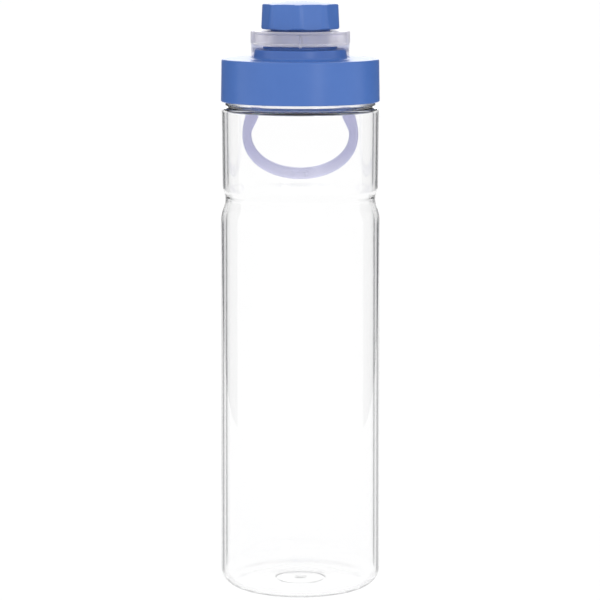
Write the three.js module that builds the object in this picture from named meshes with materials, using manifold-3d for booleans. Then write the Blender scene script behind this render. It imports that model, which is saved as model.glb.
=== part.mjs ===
// Clear drinking bottle with a screw lid, a small screw cap on its spout and a soft carry strap.
// Millimetres, +Z up. The origin is on the bottle's axis, in the plane that it stands on, and the
// strap hangs on the +Y side. Profiles are (radius, height) points with the material on their left.

import * as THREE from "three";
import { mergeVertices } from "three/addons/utils/BufferGeometryUtils.js";
import Module from "manifold-3d";

const wasm = await Module();
wasm.setup();

// Driving dimensions
const wall = 1.6; // blown wall of the bottle
const gap = 0.3; // between pieces that rest on each other
const roundSegments = 40; // bottle, lid and lid gasket
const smallSegments = 32; // spout cap, its seal and the strap's ring
const fullTurn = 2 * Math.PI;

const body = {
  baseRadius: 36.9, // where the base corner ends
  cornerRadius: 8.2,
  standInner: 24.0, // inner edge of the flat ring that the bottle stands on
  recessHeight: 1.0,
  dimpleRadius: 12.5,
  dimpleHeight: 3.6,
  bandRadius: 36.0, // plain band over the groove
  shoulderHeight: 222.3,
  shoulderCorner: 1.9,
};

// The waist groove, from its lower edge to its upper one: (radius, height).
const grooveOutside = [
  [36.5, 168.5], [36.3, 173.2], [35.7, 175.4], [35.1, 177.6], [34.6, 179.2], [34.4, 180.4], [34.5, 181.8],
  [35.2, 183.2], [35.7, 185.2],
];
// The inside of the wall follows it more smoothly.
const grooveInside = [[35.7, 185.2], [34.4, 182.0], [34.4, 179.6], [35.5, 175.4], [36.5, 168.5]];

const neck = {
  stepRadius: 33.0, // short step between the shoulder and the bead
  rootRadius: 32.0,
  boreRadius: 29.8,
  beadRadius: 34.4,
  beadLow: 222.95,
  beadHigh: 224.95,
  rimHeight: 240.3,
};

// The ridges on the neck and on the spout, and the shorter ones inside the lid and the cap.
const lidThread = { pitch: 5.0, low: 229.2, turns: 1.4, height: 1.4, rootWidth: 2.4, crestWidth: 1.4 };
const capThread = { pitch: 4.0, low: 258.9, turns: 1.2, height: 1.0, rootWidth: 1.8, crestWidth: 1.0 };
const lidThreadInside = { ...lidThread, turns: 1.2 };
const capThreadInside = { ...capThread, turns: 1.0 };

const lid = {
  footHeight: 225.0,
  footRadius: 36.3,
  topHeight: 244.4,
  topRadius: 36.0,
  edgeRadius: 1.0,
  innerRadius: 33.9,
  ceilingHeight: 242.4,
  ribInner: 27.6, // the rib that keeps the gasket in place
  ribOuter: 29.2,
  ribFoot: 238.4,
  drumFoot: 21.9,
  drumRadius: 20.9,
  drumHeight: 248.8,
  drumInner: 18.9,
  seatRadius: 17.0, // ledge under the strap's ring
  seatHeight: 250.2,
};

const spout = { radius: 13.6, boreRadius: 11.6, topHeight: 265.4 };

const cap = {
  footHeight: 257.9,
  edgeHeight: 269.2,
  crownHeight: 270.5,
  footRadius: 17.8,
  topRadius: 17.35,
  innerRadius: 15.0,
  ceilingHeight: 267.3,
  flats: 8,
  flatTop: 16.2, // distance from the axis to a flat, at the top edge and at the foot
  flatFoot: 17.3,
  flatTurn: 19, // degrees from the front to the middle of the first flat
};

const ring = {
  low: 250.5,
  high: 257.1,
  rimRadius: 21.5,
  webRadius: 20.9, // bottom of the shallow channel round it
  boreRadius: 14.1,
  lugStart: 1.0, // Y where the lugs leave the ring's sides
  lugSquare: 10.5, // Y from where they run straight back and get thinner
};

const strap = {
  thickness: 4.4,
  outer: 22.9, // half widths of the two arms
  inner: 17.0,
  rootY: 24.0, // axis that the arms turn about, behind the ring
  rootZ: 252.6,
  bendY: 38.9, // axis that the loop turns about, behind the lid
  bendZ: 243.5,
};

// The loop's outer and inner edge: its half width, the height where it is widest, its lowest point, and
// how far the legs keep straight below the arms and above the widest place.
const loopOuter = { half: 29.5, widestZ: 206.6, foot: 185.8, keepTop: 19.0, keepWide: 9.4 };
const loopInner = { half: 24.4, widestZ: 207.1, foot: 191.3, keepTop: 26.0, keepWide: 4.0 };

// Colours
const clearPlastic = new THREE.MeshStandardMaterial({
  name: "clear_copolyester", color: 0xeef4f6, roughness: 0.06, metalness: 0, transparent: true, opacity: 0.3,
});
const bluePlastic = new THREE.MeshStandardMaterial({
  name: "blue_polypropylene", color: 0x5a7cc0, roughness: 0.42, metalness: 0,
});
const sealRubber = new THREE.MeshStandardMaterial({
  name: "white_silicone", color: 0xe9e9e6, roughness: 0.6, metalness: 0,
});
const softStrap = new THREE.MeshStandardMaterial({
  name: "frosted_elastomer", color: 0xcfc6dc, roughness: 0.5, metalness: 0, transparent: true, opacity: 0.75,
});

// Shared vertices, and no triangle that has collapsed to a line.
function weld(geometry) {
  geometry.deleteAttribute("normal");
  geometry.deleteAttribute("uv");
  const welded = mergeVertices(geometry, 1e-4);
  const old = welded.index.array;
  const kept = [];
  for (let i = 0; i < old.length; i += 3) {
    const [a, b, c] = [old[i], old[i + 1], old[i + 2]];
    if (a !== b && b !== c && c !== a) kept.push(a, b, c);
  }
  welded.setIndex(kept);
  return welded;
}

function toSolid(geometry) {
  const welded = weld(geometry);
  const vertProperties = Float32Array.from(welded.attributes.position.array);
  const triVerts = Uint32Array.from(welded.index.array);
  return new wasm.Manifold(new wasm.Mesh({ numProp: 3, vertProperties, triVerts }));
}

function toGeometry(solid) {
  const mesh = solid.getMesh();
  const geometry = new THREE.BufferGeometry();
  geometry.setAttribute("position", new THREE.Float32BufferAttribute(mesh.vertProperties, 3));
  geometry.setIndex(Array.from(mesh.triVerts));
  return geometry;
}

function point(radius, height) {
  return new THREE.Vector2(radius, height);
}

// Points of a round corner, from one angle to another in degrees, in equal steps.
function corner(centreRadius, centreHeight, size, from, to, steps = 4) {
  const points = [];
  for (let i = 0; i <= steps; i++) {
    const angle = THREE.MathUtils.degToRad(from + ((to - from) * i) / steps);
    points.push(point(centreRadius + size * Math.cos(angle), centreHeight + size * Math.sin(angle)));
  }
  return points;
}

// A profile turned round the Z axis.
function revolve(points, segments) {
  return new THREE.LatheGeometry(points, segments).rotateX(Math.PI / 2);
}

// The same, for a profile that doesn't reach the axis and so closes on itself.
function revolveRing(points, segments) {
  return revolve([...points, points[0].clone()], segments);
}

// A thread ridge: a straight bar of trapezoid section, wound round the axis along a right-hand helix.
// side is 1 for a ridge that stands out of a wall and -1 for one that stands into a hole, and lift
// moves the helix along the axis. Its steps are as long as the wall's facets and start in the middle
// of one, so that the two cross cleanly.
function threadRidge(thread, wallRadius, side, lift, segments) {
  const bury = 0.4;
  const foot = wallRadius - side * bury;
  const crest = wallRadius + side * thread.height;
  const section = new THREE.Shape();
  section.moveTo(foot, -thread.rootWidth / 2);
  section.lineTo(crest, -thread.crestWidth / 2);
  section.lineTo(crest, thread.crestWidth / 2);
  section.lineTo(foot, thread.rootWidth / 2);
  section.closePath();
  const steps = Math.round(thread.turns * segments);
  const sweep = (steps * fullTurn) / segments;
  const bar = new THREE.ExtrudeGeometry(section, { depth: sweep, steps, bevelEnabled: false });
  const fade = fullTurn / 16; // the ridge runs out over this angle at each end
  const start = Math.PI / segments;
  const position = bar.attributes.position;
  for (let i = 0; i < position.count; i++) {
    const along = sweep - position.getZ(i); // wound backwards, which keeps its faces pointing out
    const share = THREE.MathUtils.clamp(Math.min(along, sweep - along) / fade, 0, 1);
    const radius = foot + (position.getX(i) - foot) * (0.45 + 0.55 * share);
    const angle = start + along;
    const height = thread.low + lift + position.getY(i) + (thread.pitch * angle) / fullTurn;
    position.setXYZ(i, radius * Math.cos(angle), radius * Math.sin(angle), height);
  }
  return bar;
}

function withThread(geometry, thread, wallRadius, side, lift, segments) {
  const ridge = toSolid(threadRidge(thread, wallRadius, side, lift, segments));
  return toGeometry(toSolid(geometry).add(ridge));
}

// Bottle: a thin blown shell with a recessed base, a waist groove and a threaded neck.
function bottleBody() {
  const { cornerRadius: round, shoulderCorner: soft } = body;
  const cornerCentre = body.baseRadius - round;
  const outside = [
    point(0, body.dimpleHeight),
    ...corner(body.dimpleRadius - 2.2, body.dimpleHeight - 1.6, 1.6, 90, 20, 3),
    ...corner(body.dimpleRadius + 1.2, body.recessHeight + 0.6, 0.9, 200, 270, 2),
    point(body.standInner - 1.6, body.recessHeight - 0.2),
    point(body.standInner, 0),
    ...corner(cornerCentre, round, round, -90, 0, 6),
    ...grooveOutside.map(([radius, height]) => point(radius, height)),
    ...corner(body.bandRadius - soft, body.shoulderHeight - soft, soft, 0, 90, 4),
    point(neck.stepRadius, body.shoulderHeight + 0.2),
    point(neck.stepRadius, neck.beadLow - 0.3),
    ...corner(neck.beadRadius - 1.0, neck.beadLow + 1.0, 1.0, -90, 90, 4),
    point(neck.rootRadius, neck.beadHigh + 0.3),
    point(neck.rootRadius, neck.rimHeight - 0.5),
    point(neck.rootRadius - 0.5, neck.rimHeight),
  ];
  const inside = [
    point(neck.boreRadius + 0.5, neck.rimHeight),
    point(neck.boreRadius, neck.rimHeight - 0.5),
    point(neck.boreRadius, body.shoulderHeight),
    ...corner(neck.boreRadius + 1.6, body.shoulderHeight - 0.2, 1.6, 180, 270, 2),
    ...corner(body.bandRadius - soft, body.shoulderHeight - soft, soft - wall, 90, 0, 2),
    ...grooveInside.map(([radius, height]) => point(radius - wall, height)),
    ...corner(cornerCentre, round, round - wall, 0, -90, 5),
    point(body.dimpleRadius + 2.4, body.recessHeight + wall),
    ...corner(body.dimpleRadius - 2.2, body.dimpleHeight + wall - 2.4, 2.4, 20, 90, 2),
    point(0, body.dimpleHeight + wall),
  ];
  const shell = revolve([...outside, ...inside], roundSegments);
  return withThread(shell, lidThread, neck.rootRadius, 1, 0, roundSegments);
}

// Lid: the wide collar with the neck's thread in it, the drum and the open spout, in one moulding.
function lidBody() {
  const edge = lid.edgeRadius;
  const profile = [
    point(lid.footRadius - 0.4, lid.footHeight),
    point(lid.footRadius, lid.footHeight + 0.4),
    ...corner(lid.topRadius - edge, lid.topHeight - edge, edge, 0, 90, 3),
    ...corner(lid.drumFoot + 1.0, lid.topHeight + 1.6, 1.6, 270, 200, 3),
    ...corner(lid.drumRadius - 0.5, lid.drumHeight - 0.5, 0.5, 0, 90, 2),
    point(lid.seatRadius, lid.drumHeight),
    point(lid.seatRadius, lid.seatHeight),
    point(spout.radius, lid.seatHeight),
    point(spout.radius, spout.topHeight - 0.5),
    point(spout.radius - 0.5, spout.topHeight),
    point(spout.boreRadius + 0.5, spout.topHeight),
    point(spout.boreRadius, spout.topHeight - 0.5),
    point(spout.boreRadius, lid.drumHeight - 2.0),
    point(lid.drumInner, lid.drumHeight - 2.0),
    point(lid.drumInner, lid.ceilingHeight),
    point(lid.ribInner, lid.ceilingHeight),
    point(lid.ribInner, lid.ribFoot),
    point(lid.ribOuter, lid.ribFoot),
    point(lid.ribOuter, lid.ceilingHeight),
    point(lid.innerRadius, lid.ceilingHeight),
    point(lid.innerRadius, lid.footHeight + 0.6),
    point(lid.innerRadius + 0.6, lid.footHeight),
  ];
  const shell = revolveRing(profile, roundSegments);
  const threaded = withThread(shell, lidThreadInside, lid.innerRadius, -1, lidThread.pitch / 2, roundSegments);
  return withThread(threaded, capThread, spout.radius, 1, 0, roundSegments);
}

// Flat ring in the lid that the bottle's rim presses on.
function lidGasket() {
  const low = neck.rimHeight + gap;
  const high = lid.ceilingHeight - gap;
  const inner = lid.ribOuter + gap;
  const outer = lid.innerRadius - lidThread.height + 0.7;
  const profile = [point(outer, low), point(outer, high), point(inner, high), point(inner, low)];
  return revolveRing(profile, roundSegments);
}

// Spout cap: a cup with a slightly crowned top, a drafted side cut by eight flats, and a thread inside.
function spoutCap() {
  const crownRise = cap.crownHeight - cap.edgeHeight;
  const rimRadius = cap.topRadius - 0.6;
  const crown = [0.8, 0.5, 0].map((share) =>
    point(rimRadius * share, cap.crownHeight - crownRise * share * share));
  const profile = [
    point(0, cap.ceilingHeight),
    point(cap.innerRadius, cap.ceilingHeight),
    point(cap.innerRadius, cap.footHeight + 0.4),
    point(cap.innerRadius + 0.4, cap.footHeight),
    point(cap.footRadius - 1.0, cap.footHeight),
    point(cap.footRadius - 0.3, cap.footHeight + 0.3),
    point(cap.footRadius, cap.footHeight + 1.0),
    point(cap.topRadius, cap.edgeHeight - 0.6),
    point(rimRadius, cap.edgeHeight),
    ...crown,
  ];
  const cup = toSolid(revolve(profile, smallSegments));
  const toCorner = 1 / Math.cos(Math.PI / cap.flats);
  const tall = cap.crownHeight - cap.footHeight;
  const slope = (cap.flatFoot - cap.flatTop) / (cap.edgeHeight - cap.footHeight);
  const top = (cap.flatTop - slope * (cap.crownHeight - cap.edgeHeight)) * toCorner;
  const prism = new THREE.CylinderGeometry(top, cap.flatFoot * toCorner, tall, cap.flats);
  prism.rotateX(Math.PI / 2);
  // A flat's middle faces the front (-Y) after half a flat's turn, and flatTurn moves it to the right.
  prism.rotateZ(THREE.MathUtils.degToRad(cap.flatTurn + 180 / cap.flats));
  prism.translate(0, 0, (cap.crownHeight + cap.footHeight) / 2);
  const faceted = toGeometry(cup.intersect(toSolid(prism)));
  return withThread(faceted, capThreadInside, cap.innerRadius, -1, capThread.pitch / 2, smallSegments);
}

// Disc in the cap that closes the spout.
function capSeal() {
  const low = spout.topHeight + gap;
  const high = cap.ceilingHeight - gap;
  const radius = cap.innerRadius - capThread.height + 0.3;
  return revolve([point(0, low), point(radius, low), point(radius, high), point(0, high)], smallSegments);
}

// The strap is one soft moulding. It's cut here at the two places where it bends, so that each piece
// can turn: the ring with a lug on each side, two arms, and the loop.
function carryRing() {
  const { low, high, rimRadius: rim, webRadius: web, boreRadius: bore } = ring;
  const profile = [
    point(bore + 0.4, low),
    point(rim, low),
    point(rim, low + 0.9),
    point(web, low + 1.4),
    point(web, high - 1.4),
    point(rim, high - 0.9),
    point(rim, high),
    point(bore + 0.4, high),
    point(bore, high - 0.4),
    point(bore, low + 0.4),
  ];
  let solid = toSolid(revolveRing(profile, smallSegments));
  const half = strap.thickness / 2;
  const endY = strap.rootY - half - gap;
  for (const side of [-1, 1]) {
    // Seen from above, the lug leaves the ring's side along its tangent.
    const plan = new THREE.Shape();
    plan.moveTo(side * (rim - 0.6), ring.lugStart);
    plan.lineTo(side * strap.outer, ring.lugSquare);
    plan.lineTo(side * strap.outer, endY);
    plan.lineTo(side * strap.inner, endY);
    plan.lineTo(side * (strap.inner - 0.4), ring.lugSquare);
    plan.lineTo(side * (bore + 1.6), ring.lugStart);
    plan.closePath();
    const slab = new THREE.ExtrudeGeometry(plan, { depth: high - low, bevelEnabled: false });
    slab.translate(0, 0, low);
    // Seen from the side, it thins to the arm's thickness.
    const elevation = new THREE.Shape();
    elevation.moveTo(0, low);
    elevation.lineTo(ring.lugSquare, low);
    elevation.lineTo(endY, strap.rootZ - half);
    elevation.lineTo(endY, strap.rootZ + half);
    elevation.lineTo(ring.lugSquare, high);
    elevation.lineTo(0, high);
    elevation.closePath();
    const taper = alongX(elevation, -strap.outer - 1, strap.outer + 1);
    solid = solid.add(toSolid(slab).intersect(toSolid(taper)));
  }
  return toGeometry(solid);
}

// A shape drawn in (y, z), given a width along X.
function alongX(shape, from, to, curveSegments = 8) {
  const geometry = new THREE.ExtrudeGeometry(shape, { depth: to - from, bevelEnabled: false, curveSegments });
  // The drawing's x, y and depth become Y, Z and X.
  geometry.applyMatrix4(new THREE.Matrix4().set(0, 0, 1, from, 1, 0, 0, 0, 0, 1, 0, 0, 0, 0, 0, 1));
  return geometry;
}

// One arm: a flat link that is rounded about the axis at each of its ends.
function carryArm(side) {
  const half = strap.thickness / 2;
  const slope = Math.atan2(strap.bendZ - strap.rootZ, strap.bendY - strap.rootY);
  const link = new THREE.Shape();
  link.absarc(strap.rootY, strap.rootZ, half, slope + Math.PI / 2, slope - Math.PI / 2, false);
  link.absarc(strap.bendY, strap.bendZ, half, slope - Math.PI / 2, slope + Math.PI / 2, false);
  link.closePath();
  const [near, far] = [side * strap.inner, side * strap.outer].sort((a, b) => a - b);
  return weld(alongX(link, near, far, 6));
}

// One edge of the loop, down a leg on the given side, round the bottom and up the other leg.
function traceEdge(outline, edge, legHalf, top, side) {
  const { half, widestZ, foot, keepTop, keepWide } = edge;
  outline.bezierCurveTo(side * legHalf, top - keepTop, side * half, widestZ + keepWide, side * half, widestZ);
  const start = side < 0 ? Math.PI : 0;
  outline.absellipse(0, widestZ, half, widestZ - foot, start, start + Math.PI, side > 0, 0);
  outline.bezierCurveTo(-side * half, widestZ + keepWide, -side * legHalf, top - keepTop, -side * legHalf, top);
}

// The loop: a U of even thickness that hangs behind the bottle, open at the top between its two legs.
function carryLoop() {
  const half = strap.thickness / 2;
  const top = strap.bendZ - half - gap;
  const outline = new THREE.Shape();
  outline.moveTo(-strap.inner, top);
  traceEdge(outline, loopInner, strap.inner, top, -1);
  outline.lineTo(strap.outer, top);
  traceEdge(outline, loopOuter, strap.outer, top, 1);
  outline.closePath();
  const loop = new THREE.ExtrudeGeometry(outline, {
    depth: strap.thickness, bevelEnabled: false, curveSegments: 10,
  });
  // The drawing's y becomes Z, and its depth runs towards -Y.
  loop.rotateX(Math.PI / 2);
  loop.translate(0, strap.bendY + half, 0);
  return weld(loop);
}

function piece(name, geometry, material) {
  const mesh = new THREE.Mesh(geometry, material);
  mesh.name = name;
  return mesh;
}

const bottle = new THREE.Group();
bottle.add(
  piece("bottle_body", bottleBody(), clearPlastic),
  piece("lid", lidBody(), bluePlastic),
  piece("lid_gasket", lidGasket(), sealRubber),
  piece("spout_cap", spoutCap(), bluePlastic),
  piece("cap_seal", capSeal(), sealRubber),
);

const carryStrap = new THREE.Group();
carryStrap.add(
  piece("carry_ring", carryRing(), softStrap),
  piece("carry_arm_left", carryArm(-1), softStrap),
  piece("carry_arm_right", carryArm(1), softStrap),
  piece("carry_loop", carryLoop(), softStrap),
);
bottle.add(carryStrap);

export default bottle;
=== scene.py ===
# %% [markdown]
# # A clear drinking bottle with a blue screw lid and a soft carry loop
# The engineering model is loaded first and stays where it is. Every piece built here is a finer
# version of one or more of its nodes, or of a thread on one. The rigid pieces move with the same bodies,
# and the strap's two pieces stay where they are built. Lengths here are written in millimetres, as on a
# drawing, and one factor turns them into Blender's metres.
# Only the two light panels are sized and placed in metres.

# %% Load the frame and measure it
import math

import bpy
import numpy as np
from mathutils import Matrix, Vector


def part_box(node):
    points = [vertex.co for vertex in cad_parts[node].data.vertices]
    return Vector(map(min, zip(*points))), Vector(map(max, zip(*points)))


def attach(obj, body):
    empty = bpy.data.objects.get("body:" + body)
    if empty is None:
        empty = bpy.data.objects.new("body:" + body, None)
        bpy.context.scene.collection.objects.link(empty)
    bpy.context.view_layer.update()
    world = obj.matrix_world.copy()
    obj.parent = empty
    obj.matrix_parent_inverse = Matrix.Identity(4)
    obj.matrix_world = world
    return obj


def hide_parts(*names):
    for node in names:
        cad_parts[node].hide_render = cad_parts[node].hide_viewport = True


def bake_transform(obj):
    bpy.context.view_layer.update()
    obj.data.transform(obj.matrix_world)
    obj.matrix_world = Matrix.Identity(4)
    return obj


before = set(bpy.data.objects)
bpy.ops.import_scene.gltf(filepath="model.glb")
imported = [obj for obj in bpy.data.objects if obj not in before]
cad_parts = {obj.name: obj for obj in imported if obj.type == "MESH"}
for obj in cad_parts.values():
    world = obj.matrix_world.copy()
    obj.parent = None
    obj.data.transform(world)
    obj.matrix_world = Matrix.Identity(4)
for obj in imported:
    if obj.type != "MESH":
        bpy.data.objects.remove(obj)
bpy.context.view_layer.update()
MM = 0.001

# %% [markdown]
# ## Heights and radii that the pieces share
# Most heights where pieces meet are read from the frame, so that they can't drift away from it. Steps
# up from the lid's foot and most radii are given.

# %% Shared places
def low_high(node):
    low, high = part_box(node)
    return [value / MM for value in low], [value / MM for value in high]


lid_low, lid_high = low_high("lid")
_, body_high = low_high("bottle_body")
cap_low, cap_high = low_high("spout_cap")
ring_low, ring_high = low_high("carry_ring")
gasket_low, gasket_high = low_high("lid_gasket")
seal_low, seal_high = low_high("cap_seal")
loop_low, _ = low_high("carry_loop")

LID_FOOT = lid_low[2]
SPOUT_TOP = lid_high[2]
COLLAR_TOP = LID_FOOT + 19.4
DRUM_TOP = LID_FOOT + 23.8
SEAT_TOP = LID_FOOT + 25.2
RIM = body_high[2]
SKIRT_BORE, SPOUT_RADIUS, CAP_BORE = 33.9, 13.6, 15.0  # walls that a thread stands on
print("lid foot", LID_FOOT, "collar top", COLLAR_TOP, "spout top", SPOUT_TOP, "rim", RIM)

# %% [markdown]
# ## Camera
# A long lens from a little above the cap, tipped down so that the whole bottle fills the frame. The
# length of the lens keeps the bottle's sides nearly parallel.

# %% Camera
CAMERA_DISTANCE = 1293 * MM
CAMERA_HEIGHT = 309 * MM
CAMERA_PITCH = math.radians(7.74)
LENS = 169.6

camera = bpy.data.objects.new("camera", bpy.data.cameras.new("camera"))
bpy.context.scene.collection.objects.link(camera)
camera.location = (-0.15 * MM, -CAMERA_DISTANCE, CAMERA_HEIGHT)
camera.rotation_euler = (math.pi / 2 - CAMERA_PITCH, 0, 0)
camera.data.sensor_width = 36
camera.data.lens = LENS
bpy.context.scene.camera = camera

# %% [markdown]
# ## Outlines
# Most of this object is turned: the bottle, the lid, the ring and the seals are all a flat outline
# swung round one axis. An outline here is a list of (radius, height) points, and its round corners are
# arcs. Smooth shading smears a corner over a long neighbouring face, so each long stretch gets two
# extra points close to its ends, which hold the shading in place.

# %% Outline helpers
def arc(centre_radius, centre_height, size, start, end, steps=8):
    """Points of a round corner, from one angle to another in degrees."""
    angles = np.radians(np.linspace(start, end, steps + 1))
    return [(centre_radius + size * math.cos(a), centre_height + size * math.sin(a)) for a in angles]


def held(points, hold=0.12, longer_than=0.6):
    """The same outline with support points near the ends of each long stretch."""
    result = [points[0]]
    for before, after in zip(points, points[1:]):
        a, b = np.array(before), np.array(after)
        length = float(np.linalg.norm(b - a))
        if length > longer_than:
            step = (b - a) / length * hold
            result += [tuple(a + step), tuple(b - step)]
        result.append(after)
    return result


# %% [markdown]
# ## Geometry Nodes: turning an outline
# A grid has one column of points for each step round the axis and one row for each outline point. Every
# grid point looks up its outline point and swings it to its own angle. Merging by distance then closes
# the seam and the poles on the axis. The same small tree turns every round piece.

# %% The turning tree
def add_node(tree, kind, settings=None, inputs=None):
    """One node, with its settings and inputs. An input is a value, a socket or a node's first output."""
    node = tree.nodes.new(kind)
    for name, value in (settings or {}).items():
        setattr(node, name, value)
    for key, value in (inputs or {}).items():
        if isinstance(value, bpy.types.Node):
            value = value.outputs[0]
        if isinstance(value, bpy.types.NodeSocket):
            tree.links.new(value, node.inputs[key])
        else:
            node.inputs[key].default_value = value
    return node


def new_tree(name, numbers):
    """A geometry node group with a geometry input and output and the named number inputs."""
    tree = bpy.data.node_groups.new(name, "GeometryNodeTree")
    face = tree.interface
    face.new_socket("Geometry", in_out="INPUT", socket_type="NodeSocketGeometry")
    for label, kind in numbers.items():
        face.new_socket(label, in_out="INPUT", socket_type=kind)
    face.new_socket("Material", in_out="INPUT", socket_type="NodeSocketMaterial")
    face.new_socket("Geometry", in_out="OUTPUT", socket_type="NodeSocketGeometry")
    return tree, tree.nodes.new("NodeGroupInput").outputs, tree.nodes.new("NodeGroupOutput").inputs


def close_tree(tree, geometry, given, result):
    """Ends a tree the way the export needs it: real meshes that hold their material."""
    real = add_node(tree, "GeometryNodeRealizeInstances", inputs={"Geometry": geometry})
    painted = add_node(tree, "GeometryNodeSetMaterial",
                       inputs={"Geometry": real, "Material": given["Material"]})
    tree.links.new(painted.outputs[0], result["Geometry"])


def outline_grid(tree, given, columns):
    """A grid whose rows are the outline's points: gives it, how far round (0 to 1) and the outline."""
    count = add_node(tree, "GeometryNodeAttributeDomainSize", {"component": "MESH"},
                     {"Geometry": given["Geometry"]}).outputs["Point Count"]
    grid = add_node(tree, "GeometryNodeMeshGrid",
                    inputs={"Size X": 1.0, "Size Y": 1.0, "Vertices X": columns, "Vertices Y": count})
    here = add_node(tree, "GeometryNodeInputPosition")
    split = add_node(tree, "ShaderNodeSeparateXYZ", inputs={0: here})
    around = add_node(tree, "ShaderNodeMath", {"operation": "ADD"}, {0: split.outputs["X"], 1: 0.5})
    along = add_node(tree, "ShaderNodeMath", {"operation": "ADD"}, {0: split.outputs["Y"], 1: 0.5})
    last = add_node(tree, "ShaderNodeMath", {"operation": "SUBTRACT"}, {0: count, 1: 1.0})
    step = add_node(tree, "ShaderNodeMath", {"operation": "MULTIPLY"}, {0: along, 1: last})
    row = add_node(tree, "ShaderNodeMath", {"operation": "ROUND"}, {0: step})
    outline = add_node(tree, "GeometryNodeSampleIndex", {"data_type": "FLOAT_VECTOR"},
                       {"Geometry": given["Geometry"], "Value": here, "Index": row})
    flat = add_node(tree, "ShaderNodeSeparateXYZ", inputs={0: outline})
    return grid.outputs["Mesh"], around, flat.outputs["X"], flat.outputs["Z"]


def swing(tree, grid, radius, angle, height):
    """Puts the grid's points at their places round the axis, and closes seam and poles."""
    cosine = add_node(tree, "ShaderNodeMath", {"operation": "COSINE"}, {0: angle})
    sine = add_node(tree, "ShaderNodeMath", {"operation": "SINE"}, {0: angle})
    x = add_node(tree, "ShaderNodeMath", {"operation": "MULTIPLY"}, {0: radius, 1: cosine})
    y = add_node(tree, "ShaderNodeMath", {"operation": "MULTIPLY"}, {0: radius, 1: sine})
    place = add_node(tree, "ShaderNodeCombineXYZ", inputs={"X": x, "Y": y, "Z": height})
    moved = add_node(tree, "GeometryNodeSetPosition", inputs={"Geometry": grid, "Position": place})
    return add_node(tree, "GeometryNodeMergeByDistance", inputs={"Geometry": moved, "Distance": 1e-6})


def turning_tree():
    tree, given, result = new_tree("turn_outline", {"Segments": "NodeSocketInt"})
    columns = add_node(tree, "ShaderNodeMath", {"operation": "ADD"}, {0: given["Segments"], 1: 1.0})
    grid, around, radius, height = outline_grid(tree, given, columns)
    angle = add_node(tree, "ShaderNodeMath", {"operation": "MULTIPLY"}, {0: around, 1: math.tau})
    close_tree(tree, swing(tree, grid, radius, angle, height), given, result)
    return tree


TURN = turning_tree()


# %% [markdown]
# A modifier takes its numbers by the socket's identifier. The evaluated result becomes a plain mesh,
# the modifier goes, and the sign of the enclosed volume says whether the faces have to be turned round.

# %% From a node tree to a plain mesh
def new_object(name, points, edges=(), faces=()):
    mesh = bpy.data.meshes.new(name)
    mesh.from_pydata([tuple(MM * c for c in p) for p in points], edges, faces)
    piece = bpy.data.objects.new(name, mesh)
    bpy.context.scene.collection.objects.link(piece)
    return piece


def signed_volume(mesh):
    mesh.calc_loop_triangles()
    co = np.array([v.co for v in mesh.vertices])
    tri = np.array([t.vertices for t in mesh.loop_triangles])
    a, b, c = co[tri[:, 0]], co[tri[:, 1]], co[tri[:, 2]]
    return float(np.einsum("ij,ij->i", a, np.cross(b, c)).sum() / 6)


def flatten(piece):
    """Replaces the piece's mesh by its evaluated one, faces outwards and smooth."""
    evaluated = piece.evaluated_get(bpy.context.evaluated_depsgraph_get())
    mesh = bpy.data.meshes.new_from_object(evaluated)
    piece.modifiers.clear()
    piece.data = mesh
    if signed_volume(mesh) < 0:
        mesh.flip_normals()
    mesh.shade_smooth()
    return piece


def run_tree(piece, tree, **values):
    """Adds the tree as a modifier, sets its named inputs and flattens the result."""
    modifier = piece.modifiers.new(tree.name, "NODES")
    modifier.node_group = tree
    names = {item.name: item.identifier for item in tree.interface.items_tree if item.in_out == "INPUT"}
    for name, value in values.items():
        modifier[names[name.replace("_", " ").capitalize()]] = value
    return flatten(piece)


def turned(name, outline, material, segments=160):
    points = [(radius, 0, height) for radius, height in outline]
    edges = [(i, i + 1) for i in range(len(points) - 1)]
    piece = new_object(name, points, edges)
    return run_tree(piece, TURN, segments=segments, material=material)


# %% [markdown]
# ## Materials
# Colours are written as sRGB hex values, as a colour chart gives them, and one function turns them into
# the linear numbers that the renderer works with.

# %% Material helpers
def colour(hex_value):
    channels = [int(hex_value[i:i + 2], 16) / 255 for i in (1, 3, 5)]
    linear = [c / 12.92 if c <= 0.04045 else ((c + 0.055) / 1.055) ** 2.4 for c in channels]
    return (*linear, 1.0)


def new_material(name, **settings):
    """A node material, its tree and its Principled shader with the given socket values."""
    material = bpy.data.materials.new(name)
    material.use_nodes = True
    shader = material.node_tree.nodes["Principled BSDF"]
    for label, value in settings.items():
        shader.inputs[label.replace("_", " ").title().replace("Ior", "IOR")].default_value = value
    return material, material.node_tree, shader


def set_stops(ramp, stops):
    """Gives a colour ramp its (position, hex colour) stops."""
    elements = ramp.color_ramp.elements
    for element, (position, hex_value) in zip(elements, (stops[0], stops[-1])):
        element.position = position
        element.color = colour(hex_value)
    for position, hex_value in stops[1:-1]:
        elements.new(position).color = colour(hex_value)
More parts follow.
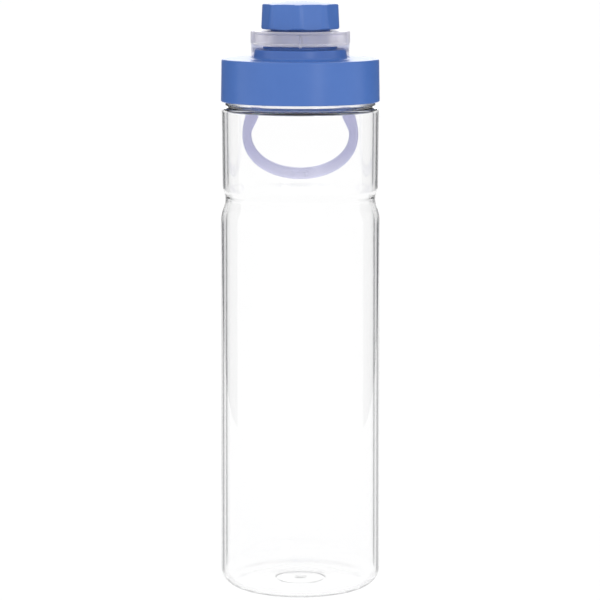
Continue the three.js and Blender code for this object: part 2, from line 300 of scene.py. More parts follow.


# %% [markdown]
# ### Clear copolyester, blow moulded
# The bottle is a tough clear plastic of the kind that replaced polycarbonate, with a refractive index
# near 1.54. It is colourless, but just inside the silhouette a wall is seen through many millimetres of
# plastic and mirrors the dark sides of the room. A facing term paints that as a dark band in the colour,
# a painted reflection, on upright walls only, because the shoulder and the neck bead are always seen at
# a shallow angle.
# Blowing leaves long shallow waves, about 20 mm across and at most 0.02 mm deep.

# %% Clear copolyester
clear, tree, shader = new_material("clear_copolyester_blown", roughness=0.0, ior=1.54,
                                   transmission_weight=1.0)
facing = add_node(tree, "ShaderNodeLayerWeight", inputs={"Blend": 0.5}).outputs["Facing"]
tint_and_painted_light = add_node(tree, "ShaderNodeValToRGB", inputs={"Fac": facing})
# Painted reflection: the dark stops near facing 0.76 darken the colour in a narrow band inside the
# silhouette.
set_stops(tint_and_painted_light, [(0.0, "#FEFEFE"), (0.62, "#FDFDFD"), (0.70, "#EDEDEE"), (0.76, "#26282B"),
                 (0.79, "#26282B"), (0.83, "#DADBDD"), (1.0, "#F0F0F0")])
normal = add_node(tree, "ShaderNodeNewGeometry").outputs["Normal"]
split = add_node(tree, "ShaderNodeSeparateXYZ", inputs={0: normal})
level = add_node(tree, "ShaderNodeMath", {"operation": "ABSOLUTE"}, {0: split.outputs["Z"]})
UPRIGHT = 0.25  # a wall that leans further than about 15 degrees has no dark band
tilted = add_node(tree, "ShaderNodeMapRange", inputs={"Value": level, "From Max": UPRIGHT})
walls_only = add_node(tree, "ShaderNodeMix", {"data_type": "RGBA"},
                      {"Factor": tilted, 6: tint_and_painted_light, 7: colour("#FDFDFD")})
tree.links.new(walls_only.outputs[2], shader.inputs["Base Color"])

WAVE_WIDTH = 20 * MM
place = add_node(tree, "ShaderNodeTexCoord").outputs["Object"]
drawn_out = add_node(tree, "ShaderNodeMapping", inputs={"Vector": place, "Scale": (1, 1, 0.35)})
waves = add_node(tree, "ShaderNodeTexNoise", inputs={"Vector": drawn_out, "Scale": 1 / WAVE_WIDTH})
relief = add_node(tree, "ShaderNodeBump", inputs={"Height": waves, "Distance": 0.02 * MM, "Strength": 1.0})
tree.links.new(relief.outputs[0], shader.inputs["Normal"])

# %% [markdown]
# ### Blue polypropylene, injection moulded
# The lid and the cap are a satin polypropylene. The mould's fine spark-eroded texture breaks up the
# reflections, and the colour swims very slightly where the melt has flowed.

# %% Blue polypropylene
blue, tree, shader = new_material("blue_polypropylene_moulded", roughness=0.32, ior=1.49)
place = add_node(tree, "ShaderNodeTexCoord").outputs["Object"]
FLOW_WIDTH = 14 * MM
flow = add_node(tree, "ShaderNodeTexNoise", inputs={"Vector": place, "Scale": 1 / FLOW_WIDTH, "Detail": 3.0})
tone = add_node(tree, "ShaderNodeValToRGB", inputs={"Fac": flow})
set_stops(tone, [(0.3, "#3E67AF"), (0.7, "#426BB3")])
tree.links.new(tone.outputs["Color"], shader.inputs["Base Color"])
GRAIN = 0.35 * MM  # coarser than the real texture, so that it shows
grain = add_node(tree, "ShaderNodeTexNoise", inputs={"Vector": place, "Scale": 1 / GRAIN, "Detail": 1.0})
relief = add_node(tree, "ShaderNodeBump", inputs={"Height": grain, "Distance": 0.004 * MM, "Strength": 0.6})
tree.links.new(relief.outputs[0], shader.inputs["Normal"])

# %% [markdown]
# ### White silicone
# The two seals are matt and a little cloudy, and hold fine dust, so their colour is mottled.

# %% White silicone
silicone, tree, shader = new_material("white_silicone", roughness=0.6, ior=1.41, subsurface_weight=0.2,
                                      subsurface_scale=2 * MM)
place = add_node(tree, "ShaderNodeTexCoord").outputs["Object"]
MOTTLE, DUST = 3 * MM, 0.5 * MM
mottle = add_node(tree, "ShaderNodeTexNoise", inputs={"Vector": place, "Scale": 1 / MOTTLE})
tone = add_node(tree, "ShaderNodeValToRGB", inputs={"Fac": mottle})
set_stops(tone, [(0.3, "#E2E1DD"), (0.7, "#EFEEEB")])
tree.links.new(tone.outputs["Color"], shader.inputs["Base Color"])
dust = add_node(tree, "ShaderNodeTexNoise", inputs={"Vector": place, "Scale": 1 / DUST})
relief = add_node(tree, "ShaderNodeBump", inputs={"Height": dust, "Distance": 0.01 * MM, "Strength": 1.0})
tree.links.new(relief.outputs[0], shader.inputs["Normal"])

# %% [markdown]
# ### Frosted elastomer
# The strap is a soft translucent thermoplastic rubber. Light goes through it but is scattered, so the
# blue spout behind the ring shows as a blurred shape and the strap itself looks pale lilac. The thick
# ring scatters more and looks almost white, most of all where it is seen edge-on. The thinner loop lets
# more through and looks bluer. The colour paints this as painted light: near white on the ring, lilac
# on the loop and paler at the loop's foot. The index is set below the solid's 1.47, because haze inside
# the rubber hides its inner mirrors. This painted colour runs with each point's moulded height, an
# attribute that the strap's pieces get further on, because Object coordinates would slide over the strap
# when it bends.

# %% Frosted elastomer
frosted, tree, shader = new_material("frosted_elastomer_moulded", roughness=0.3, ior=1.25)
MOULDED_HEIGHT = "moulded_height"
height = add_node(tree, "ShaderNodeAttribute", {"attribute_name": MOULDED_HEIGHT}).outputs["Fac"]
LOW_END, HIGH_END = loop_low[2] * MM, ring_high[2] * MM
along = add_node(tree, "ShaderNodeMapRange",
                 inputs={"Value": height, "From Min": LOW_END, "From Max": HIGH_END})
tint_and_painted_light = add_node(tree, "ShaderNodeValToRGB", inputs={"Fac": along})
LILAC_ENDS, WHITE_STARTS = 0.7, 0.86  # shares of the way from the loop's foot to the ring's top
# Painted light: the ring's part is painted near white, the loop lilac and the loop's foot paler.
set_stops(tint_and_painted_light, [(0.0, "#CFCFEB"), (0.2, "#A6A6D1"), (LILAC_ENDS, "#A3A3CF"), (WHITE_STARTS, "#F5F5FF"),
                 (1.0, "#FCF8FF")])
place = add_node(tree, "ShaderNodeTexCoord").outputs["Object"]
HAZE, SPARKLE = 6 * MM, 0.5 * MM
haze = add_node(tree, "ShaderNodeTexNoise", inputs={"Vector": place, "Scale": 1 / HAZE, "Detail": 3.0})
speck = add_node(tree, "ShaderNodeValToRGB", inputs={"Fac": haze})
set_stops(speck, [(0.3, "#F6F6F6"), (0.7, "#FFFFFF")])
shade = add_node(tree, "ShaderNodeMix", {"data_type": "RGBA", "blend_type": "MULTIPLY"},
                 {"Factor": 1.0, 6: tint_and_painted_light, 7: speck})
tree.links.new(shade.outputs[2], shader.inputs["Base Color"])

upper = add_node(tree, "ShaderNodeMapRange", {"interpolation_type": "SMOOTHSTEP"},
                 {"Value": along, "From Min": LILAC_ENDS, "From Max": WHITE_STARTS})
edge_on = add_node(tree, "ShaderNodeLayerWeight", inputs={"Blend": 0.5}).outputs["Facing"]
at_least = add_node(tree, "ShaderNodeMath", {"operation": "MAXIMUM"}, {0: edge_on, 1: 0.25})
milky = add_node(tree, "ShaderNodeMath", {"operation": "MULTIPLY"}, {0: upper, 1: at_least})
clearness = add_node(tree, "ShaderNodeMapRange", inputs={"Value": milky, "To Min": 0.85, "To Max": 0.3})
tree.links.new(clearness.outputs["Result"], shader.inputs["Transmission Weight"])
sparkle = add_node(tree, "ShaderNodeTexNoise", inputs={"Vector": place, "Scale": 1 / SPARKLE})
relief = add_node(tree, "ShaderNodeBump", inputs={"Height": sparkle, "Distance": 0.02 * MM, "Strength": 0.5})
tree.links.new(relief.outputs[0], shader.inputs["Normal"])

# %% [markdown]
# ## The bottle
# A blown shell of even wall. From the ground up: a flat standing ring round a shallow dome with its
# gate mark, a full round corner, the plain lower body, a waist groove with one fine bead
# in it, the plain band, the shoulder, the neck bead and the neck.

# %% Bottle outline
WALL = 1.6
BASE_RADIUS, BASE_CORNER, PUSH_UP = 36.9, 8.2, 1.8
RING_INSIDE, FINE_RING = 25.2, 11.2  # inner edge of the standing ring, and a fine ring in the dome
WAIST_RADIUS = 36.5
GROOVE_FOOT, GROOVE_HEIGHT, GROOVE_TOP, GROOVE_RADIUS = 169.0, 180.6, 186.2, 34.4
BAND_RADIUS, BAND_FOOT = 36.0, 35.7
SHOULDER, SHOULDER_CORNER = 222.3, 1.9
NECK_ROOT, NECK_BORE = 32.0, 29.8


def push_up(radius):
    """Height of the base's shallow dome over the ground. It meets the standing ring without a step."""
    return PUSH_UP * (0.5 + 0.5 * math.cos(math.pi * min(1, radius / RING_INSIDE)))


def base_outside():
    """From the axis out to the standing ring: a shallow push-up with the gate mark and one fine ring."""
    middle = push_up(0)
    gate = [(0, middle - 0.08), (1.8, middle - 0.08), *arc(2.4, middle, 0.08, 230, 310, 2)]
    dome = [(r, push_up(r) + 0.04 * math.exp(-((r - FINE_RING) / 0.5) ** 2))
            for r in np.linspace(3.2, RING_INSIDE, 29)]
    return [*gate, *dome]


def waist(offset, steps=26):
    """The groove from below upwards, at a distance inside the outer surface."""
    result = []
    for height in np.linspace(GROOVE_FOOT, GROOVE_TOP, steps):
        below = height < GROOVE_HEIGHT
        side, edge = (WAIST_RADIUS, GROOVE_FOOT) if below else (BAND_FOOT, GROOVE_TOP)
        share = (height - GROOVE_HEIGHT) / (edge - GROOVE_HEIGHT)
        depth = (0.5 + 0.5 * math.cos(math.pi * share)) ** (1.5 if below else 1.0)
        result.append((side + (GROOVE_RADIUS - side) * depth - offset, height))
    return result


def hairline(points):
    """A fine ring round the bottom of the groove, as the mould's parting leaves it."""
    return [(r + 0.1 * math.exp(-((z - GROOVE_HEIGHT) / 0.45) ** 2), z) for r, z in points]


def neck_bead():
    return [(33.0, SHOULDER + 0.1), *arc(33.5, SHOULDER + 1.6, 0.9, -80, 90, 8),
            (NECK_ROOT + 0.4, SHOULDER + 2.6), (NECK_ROOT, SHOULDER + 3.0)]


corner_centre = BASE_RADIUS - BASE_CORNER
shoulder_centre = (BAND_RADIUS - SHOULDER_CORNER, SHOULDER - SHOULDER_CORNER)
outside = [
    *base_outside(),
    *arc(corner_centre, BASE_CORNER, BASE_CORNER, -90, 0, 20),
    *hairline(waist(0)),
    *arc(*shoulder_centre, SHOULDER_CORNER, 0, 90, 12),
    *neck_bead(),
    *arc(NECK_ROOT - 0.6, RIM - 0.6, 0.6, 0, 90, 4),
]
inside = [
    *arc(NECK_BORE + 0.6, RIM - 0.6, 0.6, 90, 180, 4),
    *arc(NECK_BORE + 1.6, SHOULDER - 0.2, 1.6, 180, 270, 6),
    *arc(*shoulder_centre, SHOULDER_CORNER - WALL, 90, 0, 6),
    *reversed(waist(WALL)),
    *arc(corner_centre, BASE_CORNER, BASE_CORNER - WALL, 0, -90, 16),
    *[(r, WALL + push_up(r)) for r in np.linspace(24.0, 0, 22)],
]
shell = turned("bottle_shell", held(outside + inside), clear, segments=192)
print("bottle shell:", len(shell.data.polygons), "faces")

# %% [markdown]
# ## Screw threads
# A thread is one small section wound up a helix, so the tree that turns an outline only needs a climb.
# The section also shrinks to a point at both ends, as a moulded thread runs out, and that closes it.

# %% The thread tree
def thread_tree():
    floats = {name: "NodeSocketFloat" for name in ("Wall", "Low", "Pitch", "Turns")}
    tree, given, result = new_tree("wind_thread", {"Segments": "NodeSocketInt", **floats})
    columns = add_node(tree, "ShaderNodeMath", {"operation": "ADD"}, {0: given["Segments"], 1: 1.0})
    grid, around, depth, rise = outline_grid(tree, given, columns)
    turns = add_node(tree, "ShaderNodeMath", {"operation": "MULTIPLY"}, {0: around, 1: given["Turns"]})
    left = add_node(tree, "ShaderNodeMath", {"operation": "SUBTRACT"}, {0: given["Turns"], 1: turns})
    to_end = add_node(tree, "ShaderNodeMath", {"operation": "MINIMUM"}, {0: turns, 1: left})
    run_out = 1 / 16  # of a turn
    share = add_node(tree, "ShaderNodeMapRange", {"interpolation_type": "SMOOTHSTEP"},
                     {"Value": to_end, "From Max": run_out})
    stands = add_node(tree, "ShaderNodeMath", {"operation": "MULTIPLY"}, {0: depth, 1: share})
    radius = add_node(tree, "ShaderNodeMath", {"operation": "ADD"}, {0: given["Wall"], 1: stands})
    climbed = add_node(tree, "ShaderNodeMath", {"operation": "MULTIPLY"}, {0: turns, 1: given["Pitch"]})
    centre = add_node(tree, "ShaderNodeMath", {"operation": "ADD"}, {0: given["Low"], 1: climbed})
    spread = add_node(tree, "ShaderNodeMath", {"operation": "MULTIPLY"}, {0: rise, 1: share})
    height = add_node(tree, "ShaderNodeMath", {"operation": "ADD"}, {0: centre, 1: spread})
    angle = add_node(tree, "ShaderNodeMath", {"operation": "MULTIPLY"}, {0: turns, 1: math.tau})
    close_tree(tree, swing(tree, grid, radius, angle, height), given, result)
    return tree


THREAD = thread_tree()


def thread(name, material, wall, side, low, pitch, turns, depth, root, crest):
    """A ridge with a slightly rounded crest. side is 1 on a wall's outside and -1 in a hole."""
    soft = 0.25
    bury = -0.3
    outline = [(bury, -root / 2), (depth - soft, -crest / 2 - 0.15), (depth, -crest / 2 + soft),
               (depth, crest / 2 - soft), (depth - soft, crest / 2 + 0.15), (bury, root / 2),
               (bury, -root / 2)]
    points = [(side * x, 0, z) for x, z in outline]
    piece = new_object(name, points, [(i, i + 1) for i in range(len(points) - 1)])
    return run_tree(piece, THREAD, segments=int(96 * turns), wall=wall * MM, low=low * MM,
                    pitch=pitch * MM, turns=turns, material=material)


LID_THREAD = dict(pitch=5.0, depth=1.4, root=2.4, crest=1.4)
CAP_THREAD = dict(pitch=4.0, depth=1.0, root=1.8, crest=1.0)
LID_START, CAP_START = 229.4, 259.1
neck_thread = thread("neck_thread", clear, NECK_ROOT, 1, LID_START, turns=1.4, **LID_THREAD)
lid_thread = thread("lid_thread", blue, SKIRT_BORE, -1, LID_START + 2.5, turns=1.2, **LID_THREAD)
spout_thread = thread("spout_thread", blue, SPOUT_RADIUS, 1, CAP_START, turns=1.2, **CAP_THREAD)
cap_thread = thread("cap_thread", blue, CAP_BORE, -1, CAP_START + 2.0, turns=1.0, **CAP_THREAD)
print("threads:", [len(t.data.polygons) for t in (neck_thread, lid_thread, spout_thread, cap_thread)])

# %% [markdown]
# ## The lid
# One moulding: the collar that grips the neck, the drum and the open spout. Its walls are about
# 2 mm, because a thick lump would sink as it cooled. Only the ledge under the strap's ring is thicker.

# %% Lid outline
COLLAR_FOOT, COLLAR_RADIUS = 36.3, 36.0
DRUM_RADIUS, DRUM_BORE, SEAT_RADIUS, SPOUT_BORE = 20.9, 18.9, 17.0, 11.6
PLUG_INNER, PLUG_OUTER, PLUG_FOOT = 27.6, 29.2, COLLAR_TOP - 6.0  # the lip that reaches into the neck
lid_outline = [
    *arc(COLLAR_FOOT - 0.5, LID_FOOT + 0.5, 0.5, 270, 360, 4),
    *arc(COLLAR_RADIUS - 1.0, COLLAR_TOP - 1.0, 1.0, 0, 90, 8),
    *arc(23.0, COLLAR_TOP + 1.7, 1.7, 270, 194, 8),
    *arc(DRUM_RADIUS - 0.5, DRUM_TOP - 0.5, 0.5, 0, 90, 5),
    *arc(SEAT_RADIUS + 0.3, DRUM_TOP + 0.3, 0.3, 270, 180, 3),
    *arc(SEAT_RADIUS - 0.3, SEAT_TOP - 0.3, 0.3, 0, 90, 3),
    *arc(SPOUT_RADIUS + 0.3, SEAT_TOP + 0.3, 0.3, 270, 180, 3),
    *arc(SPOUT_RADIUS - 0.5, SPOUT_TOP - 0.5, 0.5, 0, 90, 4),
    *arc(SPOUT_BORE + 0.5, SPOUT_TOP - 0.5, 0.5, 90, 180, 4),
    *arc(SPOUT_BORE + 0.5, DRUM_TOP - 1.5, 0.5, 180, 270, 4),
    *arc(DRUM_BORE - 0.5, DRUM_TOP - 2.5, 0.5, 90, 0, 4),
    *arc(DRUM_BORE + 0.4, COLLAR_TOP - 1.6, 0.4, 180, 270, 4),
    (PLUG_INNER, COLLAR_TOP - 2.0), (PLUG_INNER, PLUG_FOOT),
    (PLUG_OUTER, PLUG_FOOT), (PLUG_OUTER, COLLAR_TOP - 2.0),
    *arc(SKIRT_BORE - 0.5, COLLAR_TOP - 2.5, 0.5, 90, 0, 4),
    *arc(SKIRT_BORE + 0.6, LID_FOOT + 0.6, 0.6, 180, 270, 4),
]
lid_outline.append(lid_outline[0])
lid_shell = turned("lid_shell", held(lid_outline), blue, segments=192)
print("lid:", len(lid_shell.data.polygons), "faces")

# %% [markdown]
# ## The spout cap
# A turned cup whose side is cut by eight shallow flats for the fingers. The tree below is run on the
# turned cup: where a point lies outside the nearest flat, it moves in to it.

# %% The flats tree
def flats_tree():
    names = ("Flats", "Turn", "Top distance", "Foot distance", "Top height", "Foot height", "Softness")
    tree, given, result = new_tree("cut_flats", {name: "NodeSocketFloat" for name in names})
    here = add_node(tree, "ShaderNodeSeparateXYZ", inputs={0: add_node(tree, "GeometryNodeInputPosition")})
    x, y, z = here.outputs
    square_x = add_node(tree, "ShaderNodeMath", {"operation": "MULTIPLY"}, {0: x, 1: x})
    square_y = add_node(tree, "ShaderNodeMath", {"operation": "MULTIPLY"}, {0: y, 1: y})
    squares = add_node(tree, "ShaderNodeMath", {"operation": "ADD"}, {0: square_x, 1: square_y})
    radius = add_node(tree, "ShaderNodeMath", {"operation": "SQRT"}, {0: squares})
    # The angle away from the middle of the nearest flat
    bearing = add_node(tree, "ShaderNodeMath", {"operation": "ARCTAN2"}, {0: y, 1: x})
    angle = add_node(tree, "ShaderNodeMath", {"operation": "SUBTRACT"}, {0: bearing, 1: given["Turn"]})
    pitch = add_node(tree, "ShaderNodeMath", {"operation": "DIVIDE"}, {0: math.tau, 1: given["Flats"]})
    steps = add_node(tree, "ShaderNodeMath", {"operation": "DIVIDE"}, {0: angle, 1: pitch})
    whole_steps = add_node(tree, "ShaderNodeMath", {"operation": "ROUND"}, {0: steps})
    nearest = add_node(tree, "ShaderNodeMath", {"operation": "MULTIPLY"}, {0: whole_steps, 1: pitch})
    off_middle = add_node(tree, "ShaderNodeMath", {"operation": "SUBTRACT"}, {0: angle, 1: nearest})
    away = add_node(tree, "ShaderNodeMath", {"operation": "COSINE"}, {0: off_middle})
    # The flat's distance from the axis at this height
    above = add_node(tree, "ShaderNodeMath", {"operation": "SUBTRACT"}, {0: z, 1: given["Foot height"]})
    tall = add_node(tree, "ShaderNodeMath", {"operation": "SUBTRACT"},
                    {0: given["Top height"], 1: given["Foot height"]})
    up = add_node(tree, "ShaderNodeMath", {"operation": "DIVIDE"}, {0: above, 1: tall})
    lean = add_node(tree, "ShaderNodeMath", {"operation": "SUBTRACT"},
                    {0: given["Top distance"], 1: given["Foot distance"]})
    leaned = add_node(tree, "ShaderNodeMath", {"operation": "MULTIPLY"}, {0: up, 1: lean})
    distance = add_node(tree, "ShaderNodeMath", {"operation": "ADD"}, {0: given["Foot distance"], 1: leaned})
    # The point moves in to the flat, with a slightly softened edge
    limit = add_node(tree, "ShaderNodeMath", {"operation": "DIVIDE"}, {0: distance, 1: away})
    softened = add_node(tree, "ShaderNodeMath", {"operation": "SMOOTH_MIN"},
                        {0: radius, 1: limit, 2: given["Softness"]})
    not_zero = add_node(tree, "ShaderNodeMath", {"operation": "MAXIMUM"}, {0: radius, 1: 1e-6})
    share = add_node(tree, "ShaderNodeMath", {"operation": "DIVIDE"}, {0: softened, 1: not_zero})
    cut_x = add_node(tree, "ShaderNodeMath", {"operation": "MULTIPLY"}, {0: x, 1: share})
    cut_y = add_node(tree, "ShaderNodeMath", {"operation": "MULTIPLY"}, {0: y, 1: share})
    cut = add_node(tree, "ShaderNodeCombineXYZ", inputs={"X": cut_x, "Y": cut_y, "Z": z})
    moved = add_node(tree, "GeometryNodeSetPosition", inputs={"Geometry": given["Geometry"], "Position": cut})
    close_tree(tree, moved, given, result)
    return tree


# %% Cap outline and flats
CAP_FOOT, CAP_TOP = cap_low[2], cap_high[2]
CAP_EDGE = CAP_TOP - 1.3
CAP_RADIUS, CAP_SHOULDER, CROWN_RADIUS = 17.8, 17.35, 111.0
FLAT_TOP, FLAT_FOOT, FIRST_FLAT = 16.2, 17.3, math.radians(19 - 90)
crown = [(r, CAP_TOP - r * r / (2 * CROWN_RADIUS)) for r in np.linspace(15.8, 0, 14)]
cap_outline = [
    (0, CAP_EDGE - 1.9), *arc(CAP_BORE - 0.4, CAP_EDGE - 2.3, 0.4, 90, 0, 3),
    *arc(CAP_BORE + 0.4, CAP_FOOT + 0.4, 0.4, 180, 270, 3),
    *arc(CAP_RADIUS - 0.9, CAP_FOOT + 0.9, 0.9, 270, 360, 6),
    *arc(CAP_SHOULDER - 0.6, CAP_EDGE - 0.6, 0.6, 0, 78, 6),
    *crown,
]
cap_shell = turned("cap_shell", held(cap_outline, longer_than=1.2), blue, segments=360)
FLATS = flats_tree()
run_tree(cap_shell, FLATS, flats=8.0, turn=FIRST_FLAT, softness=0.12 * MM, material=blue,
         top_distance=FLAT_TOP * MM, foot_distance=FLAT_FOOT * MM,
         top_height=CAP_EDGE * MM, foot_height=CAP_FOOT * MM)
print("cap:", len(cap_shell.data.polygons), "faces")

# %% [markdown]
# ## The seals
# A flat ring under the lid and a disc in the cap. Both have a slightly rounded, soft edge.

# %% Gasket and disc
def soft_edge(inner, outer, low, high, size=0.3):
    return [
        *arc(outer - size, low + size, size, 270, 360, 3), *arc(outer - size, high - size, size, 0, 90, 3),
        *arc(inner + size, high - size, size, 90, 180, 3), *arc(inner + size, low + size, size, 180, 270, 3),
    ]


gasket_outline = soft_edge(29.5, gasket_high[0], gasket_low[2], gasket_high[2])
gasket_outline.append(gasket_outline[0])
gasket = turned("lid_gasket_ring", held(gasket_outline), silicone, segments=128)

disc_radius, disc_low, disc_high = seal_high[0], seal_low[2], seal_high[2]
disc_outline = [
    (0, disc_low), *arc(disc_radius - 0.3, disc_low + 0.3, 0.3, 270, 360, 3),
    *arc(disc_radius - 0.3, disc_high - 0.3, 0.3, 0, 90, 3), (0, disc_high),
]
disc = turned("cap_seal_disc", held(disc_outline), silicone, segments=96)

# %% [markdown]
# ## The strap
# The strap is moulded in one piece: a ring with a shallow channel round it, and an arm on each side that
# runs back, over the edge of the collar, and down into the loop. Each stretch is a row of cross sections
# between an inner and an outer rail, so that it can change its width and thickness as it goes. It is cut
# once in the middle of each arm, because a piece can bend across one joint only.

# %% Sections between two rails
def section(inner, outer, normal, thickness, corner=1.1, steps=4):
    """A rounded rectangle that spans from one rail to the other."""
    inner, outer, normal = np.array(inner), np.array(outer), np.array(normal)
    across = outer - inner
    width = float(np.linalg.norm(across))
    across = across / width
    middle = (np.array(inner) + np.array(outer)) / 2
    size = min(corner, 0.45 * thickness, 0.45 * width)
    points = []
    for quarter in range(4):
        along_x = 1 if quarter in (0, 3) else -1
        along_n = 1 if quarter in (0, 1) else -1
        for step in range(steps + 1):
            angle = math.radians(90 * (quarter + step / steps))
            u = along_x * (width / 2 - size) + size * math.cos(angle)
            v = along_n * (thickness / 2 - size) + size * math.sin(angle)
            points.append(tuple(middle + across * u + normal * v))
    return points


def loft(name, sections, material):
    """A closed skin over a row of sections that all have the same number of points."""
    count = len(sections[0])
    points = [p for ring_points in sections for p in ring_points]
    faces = []
    for i in range(len(sections) - 1):
        for j in range(count):
            a, b = i * count + j, i * count + (j + 1) % count
            faces.append((a, b, b + count, a + count))
    faces.append(tuple(reversed(range(count))))
    faces.append(tuple(range(len(points) - count, len(points))))
    piece = new_object(name, points, faces=faces)
    piece.data.materials.append(material)
    return flatten(piece)


# %% Rails of the strap
STRAP = 4.4
RING_MIDDLE = (ring_low[2] + ring_high[2]) / 2
ARM_INNER, ARM_OUTER = 17.0, 22.9
ROOT = (24.0, 252.6)
BEND = (38.9, 243.5)
LOOP_INNER = dict(half=24.4, widest=207.1, foot=191.3, keep_top=26.0, keep_wide=4.0)
LOOP_OUTER = dict(half=29.5, widest=206.6, foot=loop_low[2], keep_top=19.0, keep_wide=9.4)


def bezier(a, b, c, d, t):
    a, b, c, d = (np.array(p, float) for p in (a, b, c, d))
    return (1 - t) ** 3 * a + 3 * (1 - t) ** 2 * t * b + 3 * (1 - t) * t * t * c + t ** 3 * d


def side_view(path, half_width, thickness):
    """Sections across both rails for a path drawn in (y, z). The widths may change along it."""
    sections = []
    for k, (y, z) in enumerate(path):
        before, after = path[max(0, k - 1)], path[min(len(path) - 1, k + 1)]
        along = np.array(after) - np.array(before)
        along = along / np.linalg.norm(along)
        inner, outer = half_width[k]
        normal = (0, -along[1], along[0])
        sections.append(section((inner, y, z), (outer, y, z), normal, thickness[k]))
    return sections


SEAM = ((ROOT[0] + BEND[0]) / 2, (ROOT[1] + BEND[1]) / 2)
slope = np.array(BEND) - np.array(ROOT)
slope = slope / np.linalg.norm(slope)

# The lug leaves the ring's side, thins, and turns down into the arm round its flex.
LUG_START, LUG_END, LUG_THICKNESS = 1.0, 10.5, 6.4
LUG_INNER, LUG_OUTER = 15.7, 20.9
lug_rise = (LUG_END, RING_MIDDLE)
lug = [(LUG_START, RING_MIDDLE), (4.0, RING_MIDDLE), (7.5, RING_MIDDLE), lug_rise]
turn_down = [tuple(bezier(lug_rise, (18.5, RING_MIDDLE - 0.2), np.array(SEAM) - 9 * slope, SEAM, t))
             for t in np.linspace(0, 1, 26)[1:]]
front_path = lug + turn_down
reach = np.clip([(y - LUG_START) / (LUG_END - LUG_START) for y, z in front_path], 0, 1)
front_width = [(LUG_INNER + (ARM_INNER - LUG_INNER) * r,
                LUG_OUTER + (ARM_OUTER - LUG_OUTER) * math.sin(r * math.pi / 2)) for r in reach]
thin = np.clip([(y - 9.0) / 11.0 for y, z in front_path], 0, 1)
front_thickness = [LUG_THICKNESS + (STRAP - LUG_THICKNESS) * t * t * (3 - 2 * t) for t in thin]


def mirrored(sections):
    """The same sections on the other side, in the order that keeps their faces outwards."""
    return [[(-x, y, z) for x, y, z in reversed(points)] for points in sections]


arm_right = side_view(front_path, front_width, front_thickness)
print("front arm:", len(arm_right), "sections")

# %% [markdown]
# ### The ring
# Turned like the lid, with a shallow channel between two rims. It has the marks of its mould: a parting
# line up the front and a small gate nub under it. The arms are joined to it by a boolean, so that the
# light inside the soft plastic meets no hidden wall.

# %% Ring with its two arms
R_LOW, R_HIGH, R_RIM, R_WEB, R_BORE = ring_low[2], ring_high[2], 21.5, 20.75, 14.1
ring_outline = [
    *arc(R_RIM - 0.3, R_LOW + 0.3, 0.3, 270, 360, 3), *arc(R_RIM - 0.3, R_LOW + 0.75, 0.3, 0, 60, 3),
    *arc(R_WEB + 0.4, R_LOW + 1.5, 0.4, 240, 180, 3), *arc(R_WEB + 0.4, R_HIGH - 1.5, 0.4, 180, 120, 3),
    *arc(R_RIM - 0.3, R_HIGH - 0.75, 0.3, 300, 360, 3), *arc(R_RIM - 0.3, R_HIGH - 0.3, 0.3, 0, 90, 3),
    *arc(R_BORE + 0.4, R_HIGH - 0.4, 0.4, 90, 180, 3), *arc(R_BORE + 0.4, R_LOW + 0.4, 0.4, 180, 270, 3),
]
ring_outline.append(ring_outline[0])


def join(target, *others):
    """Unites solids and keeps one mesh."""
    for other in others:
        modifier = target.modifiers.new("join", "BOOLEAN")
        modifier.operation = "UNION"
        modifier.solver = "EXACT"
        modifier.object = other
        flatten(target)
        bpy.data.objects.remove(other)
    return target


def mark(name, low, high):
    """A small rounded bar between two corners, lofted along X."""
    (x0, y0, z0), (x1, y1, z1) = low, high
    middle_y = (y0 + y1) / 2
    rows = [section((x, middle_y, z0), (x, middle_y, z1), (0, 1, 0), y1 - y0, corner=0.3)
            for x in np.linspace(x0, x1, 5)]
    return loft(name, rows, frosted)


strap_front = turned("strap_front", held(ring_outline), frosted, segments=144)
join(strap_front,
     loft("arm_right", arm_right, frosted), loft("arm_left", mirrored(arm_right), frosted),
     mark("parting_line", (-0.15, -20.9, R_LOW + 0.8), (0.15, -20.3, R_HIGH - 0.8)),
     mark("gate_nub", (-0.7, -21.6, R_LOW - 0.35), (0.7, -20.6, R_LOW + 0.5)))
print("ring and arms:", len(strap_front.data.polygons), "faces")

# %% [markdown]
# ### The loop
# It starts at the cut in each arm, rounds the bend behind the lid and swings down into a U. Inner and
# outer rails are drawn apart, so that the band can be narrower where the loop is widest.

# %% Loop sections
LEG_TOP = BEND[1] - 6.0
over_edge = (np.array(SEAM) + 6.5 * slope, (BEND[0], BEND[1] + 0.5))
back_path = [tuple(bezier(SEAM, *over_edge, (BEND[0], LEG_TOP), t)) for t in np.linspace(0, 1, 20)]
bend_sections = side_view(back_path, [(ARM_INNER, ARM_OUTER)] * len(back_path), [STRAP] * len(back_path))


def rail(top, half, widest, foot, keep_top, keep_wide):
    """One rail of the right half, from the leg's top to the bottom middle, as (x, z)."""
    leg = [bezier((top, LEG_TOP), (top, LEG_TOP - keep_top + 3.3), (half, widest + keep_wide),
                  (half, widest), t)
           for t in np.linspace(0, 1, 22)[1:]]
    curve = [(half * math.cos(a), widest - (widest - foot) * math.sin(a))
             for a in np.linspace(0, math.pi / 2, 28)[1:]]
    return [tuple(p) for p in leg] + curve


half_loop = [section((xi, BEND[0], zi), (xo, BEND[0], zo), (0, 1, 0), STRAP, corner=1.5)
             for (xi, zi), (xo, zo) in zip(rail(ARM_INNER, **LOOP_INNER), rail(ARM_OUTER, **LOOP_OUTER))]
right_half = bend_sections + half_loop


def reflected(points):
    """A section on the left that keeps the winding of the right one as the strap runs on."""
    return [(-x, y, z) for x, y, z in points]


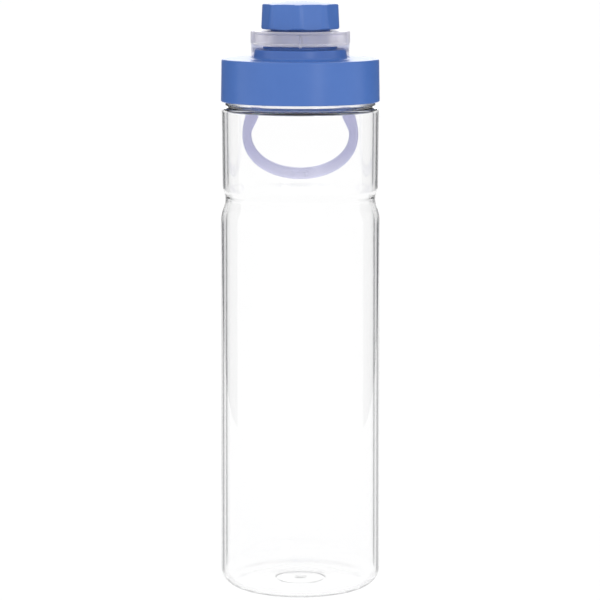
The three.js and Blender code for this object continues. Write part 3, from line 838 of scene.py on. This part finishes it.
whole = right_half + [reflected(points) for points in reversed(right_half[:-1])]
strap_back = loft("strap_back", whole, frosted)
PAD_PROUD = 0.35  # leaves clearance to the bottle when the lid carries the loop up past its band
join(strap_back, mark("gate_pad", (-3.6, BEND[0] - STRAP / 2 - PAD_PROUD, LOOP_OUTER["foot"] + 1.0),
                      (3.6, BEND[0] - STRAP / 2 + 0.8, LOOP_OUTER["foot"] + 3.6)))
print("loop:", len(strap_back.data.polygons), "faces")

# %% [markdown]
# ### Heights that stay on the rubber
# The strap's colour, its painted light included, changes along it. Object coordinates would slide over it
# when the loop is lifted, so each point keeps the height it was moulded at as an attribute, which the
# material reads.

# %% Moulded heights
def keep_height(piece):
    heights = piece.data.attributes.new(MOULDED_HEIGHT, "FLOAT", "POINT")
    heights.data.foreach_set("value", [vertex.co.z for vertex in piece.data.vertices])
    return max(vertex.co.z for vertex in piece.data.vertices) / MM


print("highest points:", [round(keep_height(piece), 1) for piece in (strap_front, strap_back)], "mm")

# %% [markdown]
# ## Every piece and the body it rides
# A rigid piece rides one body. The two soft pieces ride none: they stay where they are built, and the
# frame's nodes for the strap are hidden.

# %% Rides and hidden nodes
def belongs(piece, body, slot, *nodes):
    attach(piece, body)
    if nodes:
        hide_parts(*nodes)


belongs(shell, "bottle", "clear_plastic", "bottle_body")
for clear_piece in (shell, neck_thread):  # clear plastic lets the room's light through to the floor
    clear_piece.visible_shadow = False
    clear_piece.visible_diffuse = False
belongs(neck_thread, "bottle", "clear_plastic")
belongs(lid_shell, "lid", "blue_plastic", "lid")
belongs(lid_thread, "lid", "blue_plastic")
belongs(spout_thread, "lid", "blue_plastic")
belongs(cap_shell, "cap", "blue_plastic", "spout_cap")
belongs(cap_thread, "cap", "blue_plastic")
belongs(gasket, "lid_seal", "seal_silicone", "lid_gasket")
belongs(disc, "cap_disc", "seal_silicone", "cap_seal")

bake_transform(strap_front)
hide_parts("carry_ring", "carry_arm_left", "carry_arm_right")
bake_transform(strap_back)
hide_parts("carry_loop", "carry_arm_left", "carry_arm_right")

# %% [markdown]
# ## Stage
# White paper and a white room, as for any clear object. A narrow soft panel in front on
# the right shapes the lid. A wide one behind is what the tops of the lid and the cap mirror at their
# shallow angle, and only reflections meet it. Two dark cards behind draw the bottle's sides.

# %% Floor, room, panels and cards
SIZE = 12000
floor = new_object("floor", [(-SIZE, -SIZE, 0), (SIZE, -SIZE, 0), (SIZE, SIZE, 0), (-SIZE, SIZE, 0)],
                   faces=[(0, 1, 2, 3)])
floor.location = (0, 0, -0.2 * MM)
paper, tree, shader = new_material("white_paper", roughness=0.95, base_color=colour("#F7F7F7"),
                                   specular_ior_level=0.1)
floor.data.materials.append(paper)

world = bpy.data.worlds.new("white_room")
bpy.context.scene.world = world
world.use_nodes = True
world.node_tree.nodes["Background"].inputs["Color"].default_value = (1, 1, 1, 1)
world.node_tree.nodes["Background"].inputs["Strength"].default_value = 1.09


def soft_panel(name, width, height, place, aim, power):
    """A rectangular light that faces its aim. Its size, place and aim are in metres."""
    light = bpy.data.lights.new(name, "AREA")
    light.shape = "RECTANGLE"
    light.size, light.size_y = width, height
    light.energy = power
    panel = bpy.data.objects.new(name, light)
    bpy.context.scene.collection.objects.link(panel)
    panel.location = place
    direction = np.array(aim) - np.array(place)
    yaw = math.atan2(direction[0], -direction[1])
    tilt = math.atan2(direction[2], math.hypot(direction[0], direction[1]))
    panel.rotation_euler = (math.pi / 2 + tilt, 0, yaw + math.pi)
    return panel


soft_panel("panel_right", 0.35, 1.2, (0.8, -1.7, 0.7), (0, 0, 0.2), 3.5)
back = soft_panel("panel_back", 1.3, 1.3, (0, 2.5, 1.0), (0, 0, 1.0), 9)
back.visible_camera = False
back.visible_diffuse = False
back.visible_transmission = False


felt, tree, shader = new_material("grey_felt", roughness=1.0, base_color=colour("#5C5E62"))


def dark_card(name, side):
    """A dark card behind the bottle on one side. Only mirrored light meets it."""
    x, near, far, top = side * 450, 80, 1700, 1000
    card = new_object(name, [(x, near, 0), (x, far, 0), (x, far, top), (x, near, top)], faces=[(0, 1, 2, 3)])
    card.data.materials.append(felt)
    card.visible_camera = False
    card.visible_diffuse = False
    card.visible_shadow = False
    card.visible_transmission = False


dark_card("card_left", -1)
dark_card("card_right", 1)
bpy.context.scene.view_settings.view_transform = "Standard"
